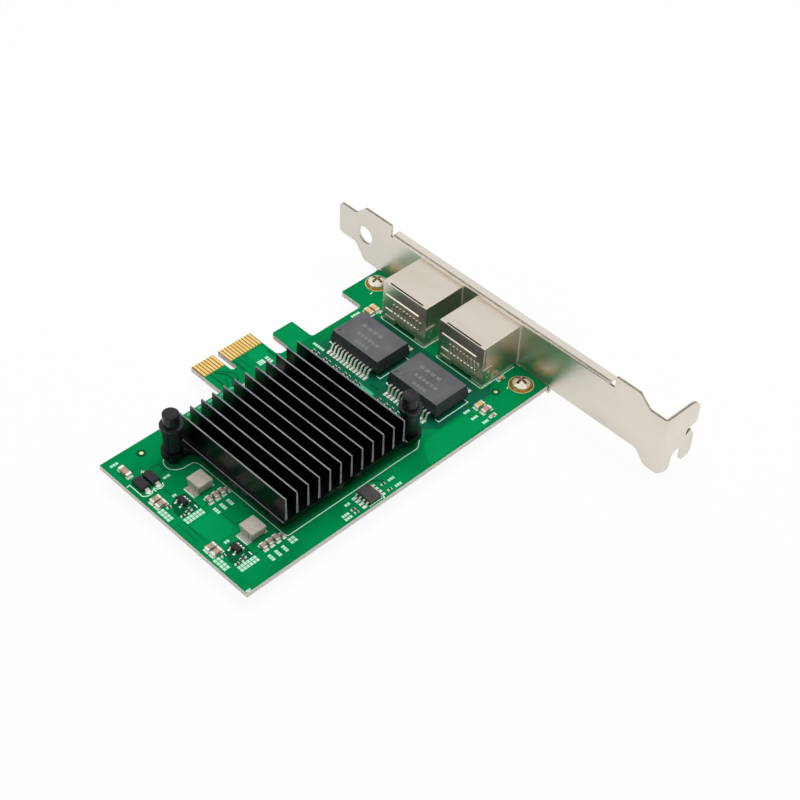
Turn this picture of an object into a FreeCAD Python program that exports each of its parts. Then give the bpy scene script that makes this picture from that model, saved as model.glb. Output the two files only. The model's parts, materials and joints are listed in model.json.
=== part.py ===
import FreeCAD, Part
import math
import os
from FreeCAD import Vector

# Network interface card with two shielded ports and a full-height bracket.
# Millimetres, in the card's own axes while it is drawn:
#   x from the bracket's inner face towards the rear edge of the board
#   y from the finger tips up to the top edge of the board
#   z up from the component face of the board
# Everything is then shifted so that the origin is the middle of the footprint,
# at the height of the lowest edge.

# Circuit board
BOARD_T = 1.57
BOARD_X0 = 0.3
BOARD_X1 = 105.4
BOARD_TOP = 68.5
BOARD_LOW = 12.1
TAB_X0 = 45.2
TAB_X1 = 65.65
TAB_TIP = -0.6
TAB_BEVEL = 0.35
KEY_X = 57.35
KEY_W = 1.9
KEY_DEPTH = 7.8
FINGER_PITCH = 1.0
FINGER_W = 0.7
FINGER_Y0 = TAB_TIP + TAB_BEVEL
FINGER_Y1 = 4.8
KEY_TO_FINGER = 1.5
FINGERS_BEFORE_KEY = 11
FINGERS_AFTER_KEY = 7
PLATING = 0.05
UNDER = -BOARD_T

# Bracket sheet
SHEET = 0.86
BEND_R = 0.3
BEND_OUT = BEND_R + SHEET
BRACKET_Z0 = -0.75
BRACKET_Z1 = 17.75
FLANGE_Z = 15.1
FLANGE_X = -2.6
FLANGE_Y0 = 8.4
FLANGE_Y1 = 87.9
TONGUE_Y = -13.1
TAB_FACE_Y = 106.92
SEAT_X = -13.9
SEAT_Z0 = -5.5
SEAT_Z1 = 14.3
EARS = ((3.4, 12.4), (59.0, 68.0))
EAR_X = 9.2
EAR_ROOT_Y = 1.1
EAR_COLLAR_R = 2.2
EAR_COLLAR_H = 0.8

# Bracket screws, M3
SCREWS = ((5.05, 7.9), (5.2, 63.4))
SCREW_R = 1.45
SCREW_BORE_R = 1.5
HEAD_R = 2.6
HEAD_TOP = 2.05
HEAD_RIM = 0.9
RECESS_L = 3.5
RECESS_W = 0.8
SCREW_END = -3.9
SCREW_PAD_R = 3.35

# Ports
PORT_YS = {"a": 27.4, "b": 48.85}
PORT_X0 = -1.9
PORT_X1 = 13.9
PORT_HALF_W = 8.15
PORT_TOP = 13.5
SHIELD_T = 0.3
SHIELD_R = 0.2
FLAP_X = 10.3
FLAP_TOP = 6.05
FLAP_T = 0.15
RIM_X = 0.35
RIM_Z0 = 0.5
BOSSES = ((11.6, 3.95), (12.1, 2.35))
BAR_ZS = (4.2, 9.1)
BAR_Y0 = -7.0
BAR_Y1 = 5.6
BAR_HALF = 0.48
RIBS = 9
RIB_FIRST_Y = -3.9
RIB_Z0 = 4.6
RIB_Z1 = 7.4
RIB_HALF = 0.36
RIDGE_H = 0.3
TOP_SLIT_Y0 = -5.8
TOP_SLIT_Y1 = 6.5
REAR_GAP_Z = 1.2
WINDOW_GAP = 0.05
CONTACTS = 8
CONTACT_PITCH = 1.016
CONTACT_W = 0.45
CONTACT_ROWS = (11.2, 12.6)
PIN_END = -3.0
PEG_X = 6.0
PEG_HALF_SPACING = 5.715
PEG_R = 1.6
LEG_X = 8.0
LEG_W = 1.6

# Transformers
TRANSFORMERS = {"a": (25.85, 26.8), "b": (25.85, 48.8)}
TRANSFORMER_L = 18.2
TRANSFORMER_W = 12.3
TRANSFORMER_TOP = 5.15
TRANSFORMER_WAIST = 1.9
TRANSFORMER_DRAFT = 0.5
TRANSFORMER_LEADS = 12
TRANSFORMER_FOOT_X = 8.95
TRANSFORMER_LEAD_W = 0.55
TRANSFORMER_LEAD_T = 0.25
LEAD_PITCH = 1.27
LEAD_BAND = 0.15

# Heatsink and its push pins, set about one centre
SINK_X = 66.4
SINK_Y = 40.85
SINK_HALF_X = 20.75
SINK_HALF_Y = 19.98
SINK_Z0 = 2.7
SINK_BASE_Z = 4.5
SINK_TOP = 12.2
FINS = 12
FIN_ROOT_T = 0.75
FIN_TIP_T = 0.42
FIN_PITCH = 3.59
PIN_DX = 24.15
PIN_DY = 17.6
PIN_HOLE_R = 1.6
PUSH_PINS = {"a": (SINK_X + PIN_DX, SINK_Y - PIN_DY), "b": (SINK_X - PIN_DX, SINK_Y + PIN_DY)}
EAR_LOBE_R = 3.2
CHIP_SIZE = 17.0
CHIP_Z0 = 0.5
CHIP_TOP = 2.4
BALLS = 16
BALL_PITCH = 1.0
BALL_R = 0.3

# Small parts: centre x, centre y, long axis, length, width, height
LONG_CAP = (3.8, 1.6, 1.2)
MEDIUM_CAP = (2.8, 1.55, 1.0)
SMALL_CAP = (2.0, 1.25, 1.1)
SMALL_CHIP = (1.6, 0.8, 0.5)
TALL_CHIP = (1.8, 0.95, 0.8)
TINY_CHIP = (1.0, 0.55, 0.4)
CAPACITORS = (
    (102.4, 18.6, "y") + LONG_CAP,
    (102.6, 31.0, "x") + MEDIUM_CAP,
    (102.6, 33.1, "x") + MEDIUM_CAP,
    (102.6, 52.0, "x") + MEDIUM_CAP,
    (102.6, 54.1, "x") + MEDIUM_CAP,
    (93.0, 39.9, "y") + SMALL_CAP,
    (90.95, 39.9, "y") + SMALL_CAP,
    (88.95, 39.9, "y") + SMALL_CAP,
    (93.15, 60.45, "y") + SMALL_CAP,
    (91.2, 60.45, "y") + SMALL_CAP,
    (89.15, 60.45, "y") + SMALL_CAP,
    (19.3, 64.0, "x") + MEDIUM_CAP,
    (19.3, 66.4, "x") + SMALL_CHIP,
    (87.0, 40.0, "y") + SMALL_CHIP,
    (87.3, 60.6, "y") + SMALL_CHIP,
)
LINE_CAPACITORS = (
    (15.35, 15.4, "y") + MEDIUM_CAP,
    (13.25, 15.4, "y") + MEDIUM_CAP,
    (19.4, 61.6, "x") + MEDIUM_CAP,
    (7.6, 58.2, "x") + TALL_CHIP,
)
RESISTORS = (
    (101.6, 34.9, "x") + TINY_CHIP,
    (101.9, 56.0, "x") + TINY_CHIP,
    (100.9, 39.5, "x") + TINY_CHIP,
    (98.1, 38.9, "y") + TINY_CHIP,
    (99.35, 39.4, "y") + TINY_CHIP,
    (101.15, 60.05, "x") + TINY_CHIP,
    (98.35, 59.45, "y") + TINY_CHIP,
    (99.6, 59.95, "y") + TINY_CHIP,
    (57.4, 67.2, "x") + TINY_CHIP,
    (57.4, 64.75, "x") + TINY_CHIP,
    (68.8, 67.2, "x") + TINY_CHIP,
    (68.8, 65.95, "x") + TINY_CHIP,
)
ROW_X = 37.2
ROW_YS = (16.6, 18.3, 21.2, 22.6, 25.1, 26.4, 28.9, 30.5, 32.9, 34.5, 42.2, 44.7, 46.9, 49.0)
UNDER_CAP_YS = (34.0, 37.0, 40.0, 43.0)
UNDER_CAP_XS = (60.0, 64.0, 68.0, 72.0)
END_SHARE = 0.2
LINE_END_SHARE = 0.15
INDUCTOR_CAP = (4.7, 5.0)
INDUCTOR_FOOT_Y = 4.3
INDUCTOR_TOP = 3.0
INDUCTOR_CAP_Z = 2.1
INDUCTOR_HALF_X = 2.0
TERMINAL_T = 0.3
TERMINAL_REACHES = {1: 3.4, -1: 2.6}
TERMINAL_HALF_Y = 1.95
INDUCTORS = ((91.45, 34.6), (91.9, 55.1))
REGULATORS = ((98.05, 35.75), (98.3, 56.3))
DIODES = ((102.1, 24.6), (98.9, 24.6))
MEMORY = (62.9, 65.35)
CRYSTAL = (60.0, 16.2)
CRYSTAL_SIZE = (5.0, 3.2)
CRYSTAL_H = 1.1
PACKAGE_Z0 = 0.1
REGULATOR_SIZE = (1.6, 2.9)
REGULATOR_TOP = 1.1
DIODE_SIZE = (2.65, 4.3)
DIODE_TOP = 1.35
MEMORY_SIZE = (3.9, 4.9)
MEMORY_TOP = 1.6
FIDUCIALS = ((95.1, 15.8), (12.3, 60.8))

ORIGIN = Vector((SEAT_X + BOARD_X1) / 2, (TONGUE_Y + TAB_FACE_Y) / 2, SEAT_Z0)

PLANES = {
    "xy": lambda u, w, depth: Vector(u, w, depth),
    "yz": lambda u, w, depth: Vector(depth, u, w),
    "xz": lambda u, w, depth: Vector(u, depth, w),
}
NORMALS = {"xy": Vector(0, 0, 1), "yz": Vector(1, 0, 0), "xz": Vector(0, 1, 0)}


def block(x0, x1, y0, y1, z0, z1):
    """Box between two corners."""
    return Part.makeBox(x1 - x0, y1 - y0, z1 - z0, Vector(x0, y0, z0))


def slab(x, y, wide_x, wide_y, z0, z1):
    """Box centred on x, y."""
    return block(x - wide_x / 2, x + wide_x / 2, y - wide_y / 2, y + wide_y / 2, z0, z1)


def post(x, y, r, z0, z1):
    """Upright cylinder."""
    return Part.makeCylinder(r, z1 - z0, Vector(x, y, z0))


def ring(x, y, r_in, r_out, z0, z1):
    """Upright tube."""
    return post(x, y, r_out, z0, z1).cut(post(x, y, r_in, z0, z1))


def corner_arc(before, corner, after, r):
    """Tangent points and middle of the arc that rounds a corner."""
    a = (before - corner).normalize()
    b = (after - corner).normalize()
    half = a.getAngle(b) / 2
    reach = r / math.tan(half)
    middle = (a + b).normalize()
    top = corner + middle * (r / math.sin(half) - r)
    return corner + a * reach, top, corner + b * reach


def outline_face(points, plane, depth):
    """Face from (u, w, corner radius) points, in order round the outline."""
    corners = [PLANES[plane](p[0], p[1], depth) for p in points]
    radii = [p[2] if len(p) > 2 else 0 for p in points]
    stretches = []
    for i, corner in enumerate(corners):
        if radii[i] > 0:
            stretches.append(corner_arc(corners[i - 1], corner, corners[(i + 1) % len(corners)], radii[i]))
        else:
            stretches.append((corner, None, corner))
    edges = []
    for i, (start, top, end) in enumerate(stretches):
        if top is not None:
            edges.append(Part.Arc(start, top, end).toShape())
        following = stretches[(i + 1) % len(stretches)][0]
        if end.distanceToPoint(following) > 1e-6:
            edges.append(Part.makeLine(end, following))
    return Part.Face(Part.Wire(edges))


def sheet(points, plane, d0, d1):
    """Rounded outline carried from one depth to another."""
    return outline_face(points, plane, d0).extrude(NORMALS[plane] * (d1 - d0))


def turned(profile, x, y):
    """Solid turned from (radius, z) points about an upright axis."""
    points = [Vector(r, 0, z) for r, z in profile]
    face = Part.Face(Part.makePolygon(points + points[:1]))
    solid = face.revolve(Vector(0, 0, 0), Vector(0, 0, 1), 360)
    solid.translate(Vector(x, y, 0))
    return solid


def joined(shapes):
    """One solid from overlapping or touching ones."""
    first, *rest = shapes
    return first.fuse(rest).removeSplitter()


def group(shapes):
    """Separate solids kept in one node."""
    solids = []
    for shape in shapes:
        solids.extend(shape.Solids)
    return Part.makeCompound(solids)


def save(name, shape):
    """Write one node, shifted to the footprint's middle."""
    placed = shape.copy()
    placed.translate(-ORIGIN)
    placed.exportStep("parts/" + name + ".step")


def contact_rows(centre_y):
    """Places of one port's contact pins, in two staggered rows."""
    first = centre_y - (CONTACTS - 1) / 2 * CONTACT_PITCH
    return [(CONTACT_ROWS[i % 2], first + i * CONTACT_PITCH) for i in range(CONTACTS)]


def board():
    """Board with edge tab, key notch, hook, recess and drilled holes."""
    key_l = KEY_X - KEY_W / 2
    key_r = KEY_X + KEY_W / 2
    key_bottom_r = KEY_W / 2 - 0.02
    points = (
        (BOARD_X0, 3.8),
        (14.9, 3.8, 0.4),
        (14.9, 12.0, 1.0),
        (33.5, 12.0, 1.0),
        (33.5, 3.8, 0.4),
        (41.0, 3.8, 1.0),
        (41.0, 11.5, 1.6),
        (TAB_X0, 11.5, 1.6),
        (TAB_X0, TAB_TIP, TAB_BEVEL),
        (key_l, TAB_TIP, 0.25),
        (key_l, KEY_DEPTH, key_bottom_r),
        (key_r, KEY_DEPTH, key_bottom_r),
        (key_r, TAB_TIP, 0.25),
        (TAB_X1, TAB_TIP, TAB_BEVEL),
        (TAB_X1, BOARD_LOW, 0.4),
        (BOARD_X1, BOARD_LOW),
        (BOARD_X1, BOARD_TOP),
        (BOARD_X0, BOARD_TOP),
    )
    blank = sheet(points, "xy", UNDER, 0)
    bevel_y = TAB_TIP + TAB_BEVEL
    bevel_top = ((TAB_TIP, 0), (bevel_y, 0), (TAB_TIP, -TAB_BEVEL))
    bevel_low = ((TAB_TIP, UNDER), (bevel_y, UNDER), (TAB_TIP, UNDER + TAB_BEVEL))
    cuts = [sheet(bevel, "yz", TAB_X0, TAB_X1) for bevel in (bevel_top, bevel_low)]
    cuts += [post(x, y, SCREW_BORE_R + 0.1, UNDER, 0) for x, y in SCREWS]
    cuts += [post(x, y, PIN_HOLE_R, UNDER, 0) for x, y in PUSH_PINS.values()]
    for centre_y in PORT_YS.values():
        cuts += [post(x, y, 0.45, UNDER, 0) for x, y in contact_rows(centre_y)]
        for side in (-1, 1):
            cuts.append(post(PEG_X, centre_y + side * PEG_HALF_SPACING, PEG_R, UNDER, 0))
            leg_y = centre_y + side * (PORT_HALF_W - SHIELD_T / 2)
            cuts.append(slab(LEG_X, leg_y, LEG_W + 0.2, 0.6, UNDER, 0))
    return blank.cut(cuts)


def finger_places():
    """Middle lines of the edge contacts on one side."""
    before = [KEY_X - KEY_TO_FINGER - i * FINGER_PITCH for i in range(FINGERS_BEFORE_KEY)]
    after = [KEY_X + KEY_TO_FINGER + i * FINGER_PITCH for i in range(FINGERS_AFTER_KEY)]
    return before + after


def edge_contacts():
    """Gold fingers on both faces of the edge tab."""
    middle = (FINGER_Y0 + FINGER_Y1) / 2
    length = FINGER_Y1 - FINGER_Y0
    fingers = []
    for x in finger_places():
        fingers.append(slab(x, middle, FINGER_W, length, 0, PLATING))
        fingers.append(slab(x, middle, FINGER_W, length, UNDER - PLATING, UNDER))
    return group(fingers)


def plated_pads():
    """Gold rings under the screw heads, and the two alignment dots."""
    rings = [ring(x, y, SCREW_BORE_R + 0.1, SCREW_PAD_R, 0, PLATING) for x, y in SCREWS]
    dots = [post(x, y, 0.55, 0, PLATING) for x, y in FIDUCIALS]
    return group(rings + dots)


def bend(plane, d0, d1, centre, quarter):
    """Quarter of a rolled sheet edge, as a ring sector across a plane."""
    axis = NORMALS[plane]
    middle = PLANES[plane](centre[0], centre[1], d0)
    tube = Part.makeCylinder(BEND_OUT, d1 - d0, middle, axis)
    tube = tube.cut(Part.makeCylinder(BEND_R, d1 - d0, middle, axis))
    u0, u1 = sorted((centre[0], centre[0] + quarter[0] * BEND_OUT))
    w0, w1 = sorted((centre[1], centre[1] + quarter[1] * BEND_OUT))
    keep = sheet(((u0, w0), (u1, w0), (u1, w1), (u0, w1)), plane, d0, d1)
    return tube.common(keep)


def bracket_plate():
    """Flat of the bracket, with tongue, relief notches and port windows."""
    fold_y = TAB_FACE_Y - BEND_OUT
    flange_fold_z = FLANGE_Z - BEND_OUT
    points = (
        (TONGUE_Y, 3.95, 1.5),
        (-6.5, 3.95, 1.0),
        (-2.8, BRACKET_Z0, 1.0),
        (98.9, BRACKET_Z0, 2.5),
        (101.9, -4.6, 2.5),
        (fold_y, -4.6),
        (fold_y, SEAT_Z1),
        (101.2, SEAT_Z1, 0.8),
        (97.6, BRACKET_Z1, 1.5),
        (FLANGE_Y1 + 1.6, BRACKET_Z1, 0.3),
        (FLANGE_Y1 + 1.6, flange_fold_z, 0.3),
        (FLANGE_Y0 - 0.8, flange_fold_z, 0.3),
        (FLANGE_Y0 - 0.8, BRACKET_Z1, 0.3),
        (-2.8, BRACKET_Z1, 1.0),
        (-6.5, 14.25, 1.0),
        (TONGUE_Y, 14.25, 1.5),
    )
    plate = sheet(points, "yz", -SHEET, 0)
    plate = plate.cut(Part.makeCylinder(2.8, SHEET, Vector(-SHEET, -2.6, 8.4), Vector(1, 0, 0)))
    reach = PORT_HALF_W + WINDOW_GAP
    for y in PORT_YS.values():
        plate = plate.cut(block(-SHEET, 0, y - reach, y + reach, 0, PORT_TOP + WINDOW_GAP))
    return plate


def stiffening_flange():
    """Long edge of the bracket turned outward between the relief notches."""
    fold_x = -BEND_OUT
    fold_z = FLANGE_Z - BEND_OUT
    web = block(FLANGE_X, fold_x, FLANGE_Y0, FLANGE_Y1, FLANGE_Z - SHEET, FLANGE_Z)
    roll = bend("xz", FLANGE_Y0, FLANGE_Y1, (fold_x, fold_z), (1, 1))
    return [web, roll]


def bracket_ear(y0, y1, screw):
    """Threaded ear turned in under the board, with its drawn collar."""
    x, y = screw
    neck = block(-SHEET, 0, y0 - EAR_ROOT_Y, y1 + EAR_ROOT_Y, UNDER + BEND_R, BRACKET_Z0)
    roll = bend("xz", y0 - EAR_ROOT_Y, y1 + EAR_ROOT_Y, (BEND_R, UNDER + BEND_R), (-1, -1))
    points = ((BEND_R, y0), (EAR_X, y0, 1.5), (EAR_X, y1, 1.5), (BEND_R, y1))
    flat = sheet(points, "xy", UNDER - SHEET, UNDER)
    collar = post(x, y, EAR_COLLAR_R, UNDER - SHEET - EAR_COLLAR_H, UNDER - SHEET)
    return [neck, roll, flat, collar]


def screw_tab():
    """End of the bracket folded out, with the open screw slot and hook notch."""
    fold_x = -BEND_OUT
    points = (
        (fold_x, SEAT_Z1),
        (SEAT_X, SEAT_Z1 - 0.4, 4.0),
        (SEAT_X, 5.6, 1.4),
        (-9.8, 5.2, 0.8),
        (-9.5, 2.8, 0.3),
        (-11.6, 4.6, 0.6),
        (-13.3, 1.4, 2.0),
        (-13.3, SEAT_Z0, 2.0),
        (-9.1, SEAT_Z0, 0.7),
        (-9.1, 0.1, 2.15),
        (-4.7, 0.1, 2.15),
        (-4.7, -5.3, 1.6),
        (-2.4, -5.3, 1.2),
        (fold_x, -4.6),
    )
    flat = sheet(points, "xz", TAB_FACE_Y - SHEET, TAB_FACE_Y)
    roll = bend("xy", -4.6, SEAT_Z1, (fold_x, TAB_FACE_Y - BEND_OUT), (1, 1))
    return [flat, roll]


def bracket():
    """The folded bracket, one sheet."""
    pieces = [bracket_plate()] + stiffening_flange() + screw_tab()
    for (y0, y1), screw in zip(EARS, SCREWS):
        pieces += bracket_ear(y0, y1, screw)
    body = joined(pieces)
    return body.cut([post(x, y, SCREW_BORE_R, UNDER - 3, UNDER) for x, y in SCREWS])


def bracket_screw(x, y):
    """Pan-head screw with a cross recess."""
    dome_r = (HEAD_R ** 2 + (HEAD_TOP - HEAD_RIM) ** 2) / (2 * (HEAD_TOP - HEAD_RIM))
    dome = Part.makeSphere(dome_r, Vector(x, y, HEAD_TOP - dome_r))
    head = post(x, y, HEAD_R, PLATING, HEAD_TOP).common(dome)
    recess = []
    for wide_x, wide_y in ((RECESS_L, RECESS_W), (RECESS_W, RECESS_L)):
        recess.append(slab(x, y, wide_x, wide_y, HEAD_TOP - 0.75, HEAD_TOP))
        recess.append(slab(x, y, wide_x * 0.6, wide_y * 0.6, HEAD_TOP - 1.4, HEAD_TOP))
    return head.fuse(post(x, y, SCREW_R, SCREW_END, PLATING)).cut(recess)


def bracket_screws():
    """The two screws that hold the board to the bracket's ears."""
    return group([bracket_screw(x, y) for x, y in SCREWS])


def port_shell(inset, x1):
    """Solid of the port's outside form, or of its hollow when inset."""
    half = PORT_HALF_W - inset
    top = PORT_TOP - inset
    across = ((-half, 0), (half, 0), (half, top, SHIELD_R), (-half, top, SHIELD_R))
    along = ((PORT_X0, 0), (x1, 0), (x1, top, SHIELD_R), (PORT_X0, top))
    return sheet(across, "yz", PORT_X0, x1).common(sheet(along, "xz", -half, half))


def ridge(half):
    """Half-round ridge across a wall: (height, offset) points."""
    return (
        (0, -half),
        (0.7 * RIDGE_H, -0.65 * half),
        (RIDGE_H, 0),
        (0.7 * RIDGE_H, 0.65 * half),
        (0, half),
    )


def shield_stiffeners():
    """Two pressed bars, a row of pressed ribs and a low panel on the shield's rear wall."""
    pressed = [block(PORT_X1, PORT_X1 + FLAP_T, -7.2, -3.5, 0.6, 2.0)]
    for z in BAR_ZS:
        bar = [(PORT_X1 + height, z + offset) for height, offset in ridge(BAR_HALF)]
        pressed.append(sheet(bar, "xz", BAR_Y0, BAR_Y1))
    for i in range(RIBS):
        y = RIB_FIRST_Y + i * LEAD_PITCH
        rib = [(PORT_X1 + height, y + offset) for height, offset in ridge(RIB_HALF)]
        pressed.append(sheet(rib, "xy", RIB_Z0, RIB_Z1))
    return pressed


def shield_sides():
    """Board legs, front rims, and the rear wall's flaps folded over the side walls."""
    folded = []
    for side in (-1, 1):
        wall = side * (PORT_HALF_W - SHIELD_T / 2)
        folded.append(slab(LEG_X, wall, LEG_W, SHIELD_T, PIN_END, 0))
        outside = side * PORT_HALF_W
        y0, y1 = sorted((outside, outside + side * FLAP_T))
        folded.append(block(FLAP_X, PORT_X1, y0, y1, 0, FLAP_TOP))
        folded.append(block(0, RIM_X, y0, y1, RIM_Z0, PORT_TOP - SHIELD_R))
        y0, y1 = sorted((outside, outside + side * 2 * FLAP_T))
        for x, z in BOSSES:
            oval = ((x - 0.35, z - 0.45), (x + 0.35, z - 0.45), (x + 0.35, z + 0.45), (x - 0.35, z + 0.45))
            folded.append(sheet([corner + (0.2,) for corner in oval], "xz", y0, y1))
    return folded


def port_shield():
    """Folded metal can of one port, centred on y = 0."""
    skin = PORT_X1 - SHIELD_T
    can = port_shell(0, PORT_X1).cut(port_shell(SHIELD_T, skin))
    can = joined([can] + shield_stiffeners() + shield_sides())
    cuts = [block(PORT_X1 - 0.55, PORT_X1 - 0.2, TOP_SLIT_Y0, TOP_SLIT_Y1, PORT_TOP - SHIELD_T, PORT_TOP)]
    cuts.append(block(skin, PORT_X1, -7.4, -3.2, 0, REAR_GAP_Z / 2))
    cuts.append(block(skin, PORT_X1, -3.2, 4.4, 0, REAR_GAP_Z))
    for side in (-1, 1):
        y0, y1 = sorted((side * (PORT_HALF_W - SHIELD_T), side * PORT_HALF_W))
        cuts.append(block(FLAP_X, skin, y0, y1, FLAP_TOP + 0.05, FLAP_TOP + 0.4))
        cuts.append(block(skin - 0.65, skin - 0.4, y0, y1, FLAP_TOP + 0.4, 12.7))
        cuts.append(block(-0.2, 1.6, y0, y1, 0, 0.4))
    return can.cut(cuts)


def port_contacts(centre_y):
    """Eight sprung contact wires with their pins through the board."""
    wires = []
    half = 0.2
    for x, y in contact_rows(centre_y):
        points = (
            (x + half, PIN_END),
            (x + half, 11.75, 0.3),
            (0.2, 11.75, 0.3),
            (0.2, 11.2, 0.2),
            (7.9, 8.3),
            (8.05, 8.65),
            (1.6, 11.35),
            (x - half, 11.35),
            (x - half, PIN_END),
        )
        wires.append(sheet(points, "xz", y - CONTACT_W / 2, y + CONTACT_W / 2))
    return group(wires)


def port_indicators(centre_y):
    """Two clear light windows in the port's upper front corners."""
    lights = []
    for side in (-1, 1):
        lights.append(slab(0.4, centre_y + side * 6.0, 4.2, 2.8, 10.9, 12.8))
    return group(lights)


def port_housing(centre_y):
    """Moulded insert with the stepped plug cavity and two locating pegs."""
    half = PORT_HALF_W - SHIELD_T
    top = PORT_TOP - SHIELD_T
    x0 = PORT_X0 + 0.2
    x1 = PORT_X1 - SHIELD_T - 0.3
    body = block(x0, x1, -half, half, 0, top - 0.2).common(port_shell(SHIELD_T, x1))
    cavity = (
        (-5.95, 10.7),
        (-5.95, 3.9),
        (-3.1, 3.9),
        (-3.1, 2.6),
        (-1.6, 2.6),
        (-1.6, 1.4),
        (1.6, 1.4),
        (1.6, 2.6),
        (3.1, 2.6),
        (3.1, 3.9),
        (5.95, 3.9),
        (5.95, 10.7),
    )
    body = body.cut(sheet(cavity, "yz", x0, 10.4))
    body.translate(Vector(0, centre_y, 0))
    pegs = []
    for side in (-1, 1):
        pegs.append(post(PEG_X, centre_y + side * PEG_HALF_SPACING, PEG_R, UNDER - 0.6, 0))
    return joined([body] + pegs)


def save_port(name, centre_y):
    """The four pieces of one port."""
    contacts = port_contacts(centre_y)
    indicators = port_indicators(centre_y)
    housing = port_housing(centre_y).cut(contacts.Solids + indicators.Solids)
    shield = port_shield()
    shield.translate(Vector(0, centre_y, 0))
    save("port_" + name + "_shield", shield)
    save("port_" + name + "_housing", housing)
    save("port_" + name + "_contacts", contacts)
    save("port_" + name + "_indicators", indicators)


def solder_joints():
    """Cones of solder round the through pins, on the solder side."""
    joints = []
    for centre_y in PORT_YS.values():
        for x, y in contact_rows(centre_y):
            cone = Part.makeCone(0.45, 0.75, 1.0, Vector(x, y, UNDER - 1.0))
            joints.append(cone.cut(slab(x, y, 0.4, CONTACT_W, UNDER - 1.0, UNDER)))
        for side in (-1, 1):
            leg_y = centre_y + side * (PORT_HALF_W - SHIELD_T / 2)
            cone = Part.makeCone(1.0, 1.4, 0.9, Vector(LEG_X, leg_y, UNDER - 0.9))
            joints.append(cone.cut(slab(LEG_X, leg_y, LEG_W, SHIELD_T, UNDER - 0.9, UNDER)))
    return group(joints)


def gull_lead(side, exit_x, foot_x, exit_z, width, thick):
    """One bent lead about y = 0, leaving a body's side and landing on the board."""
    knee = exit_x + (foot_x - exit_x) * 0.3
    heel = exit_x + (foot_x - exit_x) * 0.55
    points = (
        (exit_x, exit_z + thick),
        (knee + thick / 2, exit_z + thick),
        (heel + thick, thick),
        (foot_x, thick),
        (foot_x, 0),
        (heel, 0),
        (knee, exit_z),
        (exit_x, exit_z),
    )
    lead = sheet(points, "xz", -width / 2, width / 2)
    if side < 0:
        lead = lead.mirror(Vector(0, 0, 0), Vector(1, 0, 0))
    return lead


def lead_row(x, y, side, count, exit_x, foot_x, exit_z, width, thick, pitch=LEAD_PITCH):
    """A row of equal leads down one side of a body."""
    leads = []
    for i in range(count):
        lead = gull_lead(side, exit_x, foot_x, exit_z, width, thick)
        lead.translate(Vector(x, y + (i - (count - 1) / 2) * pitch, 0))
        leads.append(lead)
    return leads


def chamfered_body(x, y, wide_x, wide_y, z0, z1, draft, waist=None):
    """Moulded body whose sides draw in above and below the band its leads leave."""
    middle = (z0 + z1) / 2 if waist is None else waist

    def section(wide):
        return (
            (-wide / 2 + draft, z0),
            (wide / 2 - draft, z0),
            (wide / 2, middle - LEAD_BAND),
            (wide / 2, middle + LEAD_BAND),
            (wide / 2 - draft, z1),
            (-wide / 2 + draft, z1),
            (-wide / 2, middle + LEAD_BAND),
            (-wide / 2, middle - LEAD_BAND),
        )

    along = sheet(section(wide_x), "xz", -wide_y / 2, wide_y / 2)
    body = along.common(sheet(section(wide_y), "yz", -wide_x / 2, wide_x / 2))
    body.translate(Vector(x, y, 0))
    return body


def packages(places, size, top, draft):
    """Equal moulded bodies at several places."""
    return group([chamfered_body(x, y, *size, PACKAGE_Z0, top, draft) for x, y in places])


def transformer_body(x, y):
    """Moulded transformer block with its pin-one dimple."""
    body = chamfered_body(x, y, TRANSFORMER_W, TRANSFORMER_L, 0.35, TRANSFORMER_TOP, TRANSFORMER_DRAFT,
                          TRANSFORMER_WAIST)
    dimple = post(x + 4.4, y - 7.2, 0.6, TRANSFORMER_TOP - 0.2, TRANSFORMER_TOP)
    return body.cut(dimple)


def transformer_leads(x, y):
    """Twelve gull-wing leads on each long side."""
    leads = []
    for side in (-1, 1):
        leads += lead_row(x, y, side, TRANSFORMER_LEADS, TRANSFORMER_W / 2, TRANSFORMER_FOOT_X,
                          TRANSFORMER_WAIST - TRANSFORMER_LEAD_T / 2, TRANSFORMER_LEAD_W, TRANSFORMER_LEAD_T)
    return group(leads)


def sink_lobe(side):
    """Ear of the heatsink base round one push pin, about the sink's centre."""
    r = EAR_LOBE_R
    points = (
        (PIN_DX - 8.0, -PIN_DY - r + 0.9),
        (PIN_DX - 5.0, -PIN_DY - r + 0.9, 1.5),
        (PIN_DX - 3.0, -PIN_DY - r, 1.5),
        (PIN_DX + r, -PIN_DY - r, r - 0.01),
        (PIN_DX + r, -PIN_DY + r, r - 0.01),
        (SINK_HALF_X, -PIN_DY + r, 2.0),
        (SINK_HALF_X, -PIN_DY + r + 3.0),
        (PIN_DX - 8.0, -PIN_DY + r + 3.0),
    )
    placed = [(SINK_X + side * p[0], SINK_Y + side * p[1]) + tuple(p[2:]) for p in points]
    return sheet(placed, "xy", SINK_Z0, SINK_BASE_Z)


def heatsink():
    """Finned extrusion with two diagonal ears."""
    x0 = SINK_X - SINK_HALF_X
    y0 = SINK_Y - SINK_HALF_Y
    y1 = SINK_Y + SINK_HALF_Y
    pieces = [block(x0, SINK_X + SINK_HALF_X, y0, y1, SINK_Z0, SINK_BASE_Z), sink_lobe(1), sink_lobe(-1)]
    for i in range(FINS):
        fin_x = SINK_X + (i - (FINS - 1) / 2) * FIN_PITCH
        profile = (
            (fin_x - FIN_ROOT_T / 2, SINK_BASE_Z),
            (fin_x + FIN_ROOT_T / 2, SINK_BASE_Z),
            (fin_x + FIN_TIP_T / 2, SINK_TOP),
            (fin_x - FIN_TIP_T / 2, SINK_TOP),
        )
        pieces.append(sheet(profile, "xz", y0, y1))
    body = joined(pieces)
    return body.cut([post(x, y, PIN_HOLE_R, SINK_Z0, SINK_BASE_Z) for x, y in PUSH_PINS.values()])


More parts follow.
